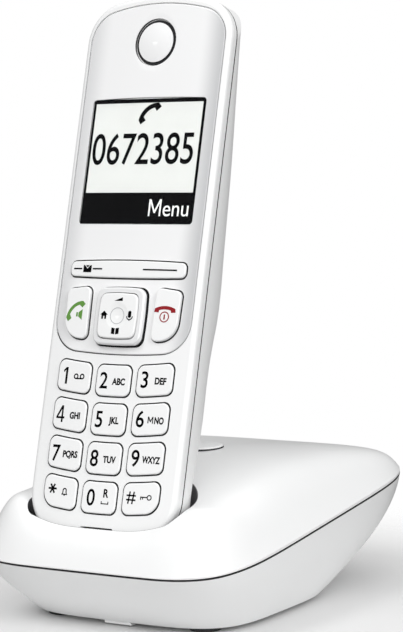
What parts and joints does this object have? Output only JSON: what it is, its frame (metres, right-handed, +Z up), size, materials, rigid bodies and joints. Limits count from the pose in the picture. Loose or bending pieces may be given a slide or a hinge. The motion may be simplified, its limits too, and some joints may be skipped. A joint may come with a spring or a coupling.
{
  "type": "cordless telephone",
  "caption": "Cordless telephone handset with a display and keypad, standing in the sloping pocket of its charging base.",
  "frame": {"origin": "centre of the bounding box, on the plane the base's feet stand on", "axes": "+Z up, the face with the display and keys looks towards -Y, +X is the right-hand side as seen from the front"},
  "size_m": [0.0896, 0.1166, 0.1746],
  "materials": {
    "casing_white": "gloss",
    "casing_back": "satin",
    "face_silver": "gloss",
    "key_white": "satin",
    "ring_pearl": "gloss",
    "window_clear": "gloss",
    "display_grey": "matt",
    "frame_black": "matt",
    "dark_plastic": "matt",
    "grey_plastic": "satin",
    "board_green": "satin",
    "dome_film": "satin",
    "steel": "satin",
    "contact_gold": "satin",
    "cell_green": "gloss",
    "can_blue": "gloss",
    "foot_rubber": "matt",
    "label_grey": "matt"
  },
  "bodies": {
    "base": {"base_top_shell": "casing_white", "base_bottom_shell": "casing_white", "base_circuit_board": "board_green", "line_jack": "grey_plastic", "power_jack": "dark_plastic", "jack_contacts": "contact_gold", "paging_switch": "dark_plastic", "base_shield_can": "steel", "base_capacitors": "can_blue", "base_antennas": "steel", "base_feet": "foot_rubber", "base_screws": "steel", "rating_label": "label_grey"},
    "handset": {"handset_front_shell": "casing_white", "handset_back_shell": "casing_back", "handset_face_plate": "face_silver", "earpiece_disc": "casing_white", "earpiece_grille": "dark_plastic", "display_window": "window_clear", "lcd_module": "display_grey", "lcd_frame": "frame_black", "battery_left": "cell_green", "battery_right": "cell_green", "battery_contacts": "steel", "handset_screws": "steel", "handset_circuit_board": "board_green", "keypad_dome_sheet": "dome_film", "earpiece_speaker": "dark_plastic", "ringer_speaker": "dark_plastic", "microphone": "dark_plastic", "handset_shield_can": "steel", "handset_antenna": "contact_gold", "handset_charge_contacts": "contact_gold"},
    "key_1": {"key_1": "key_white"},
    "key_2": {"key_2": "key_white"},
    "key_3": {"key_3": "key_white"},
    "key_4": {"key_4": "key_white"},
    "key_5": {"key_5": "key_white"},
    "key_6": {"key_6": "key_white"},
    "key_7": {"key_7": "key_white"},
    "key_8": {"key_8": "key_white"},
    "key_9": {"key_9": "key_white"},
    "key_star": {"key_star": "key_white"},
    "key_0": {"key_0": "key_white"},
    "key_hash": {"key_hash": "key_white"},
    "soft_key": {"soft_key": "key_white"},
    "call_key": {"call_key": "key_white"},
    "end_key": {"end_key": "key_white"},
    "nav_ring": {"nav_ring": "ring_pearl"},
    "nav_pad": {"nav_pad": "key_white"},
    "battery_door": {"battery_door": "casing_back"},
    "paging_key": {"paging_key": "key_white"},
    "contact_left": {"base_charge_contact_left": "contact_gold"},
    "contact_right": {"base_charge_contact_right": "contact_gold"}
  },
  "joints": [
    {"name": "handset_lift", "type": "slide", "parent": "base", "child": "handset", "axis": [0, 0.2706, 0.9627], "range_m": [0, 0.12]},
    {"name": "key_1_press", "type": "slide", "parent": "handset", "child": "key_1", "axis": [0, 0.9627, -0.2706], "range_m": [0, 0.0005], "stiffness_N_per_m": 100, "springref_m": -0.003},
    {"name": "key_2_press", "type": "slide", "parent": "handset", "child": "key_2", "axis": [0, 0.9627, -0.2706], "range_m": [0, 0.0005], "stiffness_N_per_m": 100, "springref_m": -0.003},
    {"name": "key_3_press", "type": "slide", "parent": "handset", "child": "key_3", "axis": [0, 0.9627, -0.2706], "range_m": [0, 0.0005], "stiffness_N_per_m": 100, "springref_m": -0.003},
    {"name": "key_4_press", "type": "slide", "parent": "handset", "child": "key_4", "axis": [0, 0.9627, -0.2706], "range_m": [0, 0.0005], "stiffness_N_per_m": 100, "springref_m": -0.003},
    {"name": "key_5_press", "type": "slide", "parent": "handset", "child": "key_5", "axis": [0, 0.9627, -0.2706], "range_m": [0, 0.0005], "stiffness_N_per_m": 100, "springref_m": -0.003},
    {"name": "key_6_press", "type": "slide", "parent": "handset", "child": "key_6", "axis": [0, 0.9627, -0.2706], "range_m": [0, 0.0005], "stiffness_N_per_m": 100, "springref_m": -0.003},
    {"name": "key_7_press", "type": "slide", "parent": "handset", "child": "key_7", "axis": [0, 0.9627, -0.2706], "range_m": [0, 0.0005], "stiffness_N_per_m": 100, "springref_m": -0.003},
    {"name": "key_8_press", "type": "slide", "parent": "handset", "child": "key_8", "axis": [0, 0.9627, -0.2706], "range_m": [0, 0.0005], "stiffness_N_per_m": 100, "springref_m": -0.003},
    {"name": "key_9_press", "type": "slide", "parent": "handset", "child": "key_9", "axis": [0, 0.9627, -0.2706], "range_m": [0, 0.0005], "stiffness_N_per_m": 100, "springref_m": -0.003},
    {"name": "key_star_press", "type": "slide", "parent": "handset", "child": "key_star", "axis": [0, 0.9627, -0.2706], "range_m": [0, 0.0005], "stiffness_N_per_m": 100, "springref_m": -0.003},
    {"name": "key_0_press", "type": "slide", "parent": "handset", "child": "key_0", "axis": [0, 0.9627, -0.2706], "range_m": [0, 0.0005], "stiffness_N_per_m": 100, "springref_m": -0.003},
    {"name": "key_hash_press", "type": "slide", "parent": "handset", "child": "key_hash", "axis": [0, 0.9627, -0.2706], "range_m": [0, 0.0005], "stiffness_N_per_m": 100, "springref_m": -0.003},
    {"name": "call_key_press", "type": "slide", "parent": "handset", "child": "call_key", "axis": [0, 0.9627, -0.2706], "range_m": [0, 0.0005], "stiffness_N_per_m": 100, "springref_m": -0.003},
    {"name": "end_key_press", "type": "slide", "parent": "handset", "child": "end_key", "axis": [0, 0.9627, -0.2706], "range_m": [0, 0.0005], "stiffness_N_per_m": 100, "springref_m": -0.003},
    {"name": "soft_key_rock", "type": "hinge", "parent": "handset", "child": "soft_key", "pos_m": [0, -0.02944, 0.09795], "axis": [0, 0.2706, 0.9627], "range_deg": [-2, 2], "stiffness_Nm_per_rad": 0.02},
    {"name": "nav_ring_tilt", "type": "hinge", "parent": "handset", "child": "nav_ring", "pos_m": [0, -0.03307, 0.08505], "axis": [1, 0, 0], "range_deg": [-2, 2], "stiffness_Nm_per_rad": 0.01},
    {"name": "nav_pad_tilt", "type": "hinge", "parent": "nav_ring", "child": "nav_pad", "pos_m": [0, -0.03307, 0.08505], "axis": [0, 0.2706, 0.9627], "range_deg": [-2, 2], "stiffness_Nm_per_rad": 0.01},
    {"name": "battery_door_hinge", "type": "hinge", "parent": "handset", "child": "battery_door", "pos_m": [0, -0.02254, 0.04454], "axis": [1, 0, 0], "range_deg": [-60, 0]},
    {"name": "paging_key_press", "type": "slide", "parent": "base", "child": "paging_key", "axis": [0, 0, -1], "range_m": [0, 0.001], "stiffness_N_per_m": 150, "springref_m": -0.003},
    {"name": "contact_left_spring", "type": "slide", "parent": "base", "child": "contact_left", "axis": [0, 0.2706, 0.9627], "range_m": [-0.0006, 0], "stiffness_N_per_m": 200, "springref_m": 0.002},
    {"name": "contact_right_spring", "type": "slide", "parent": "base", "child": "contact_right", "axis": [0, 0.2706, 0.9627], "range_m": [-0.0006, 0], "stiffness_N_per_m": 200, "springref_m": 0.002}
  ]
}
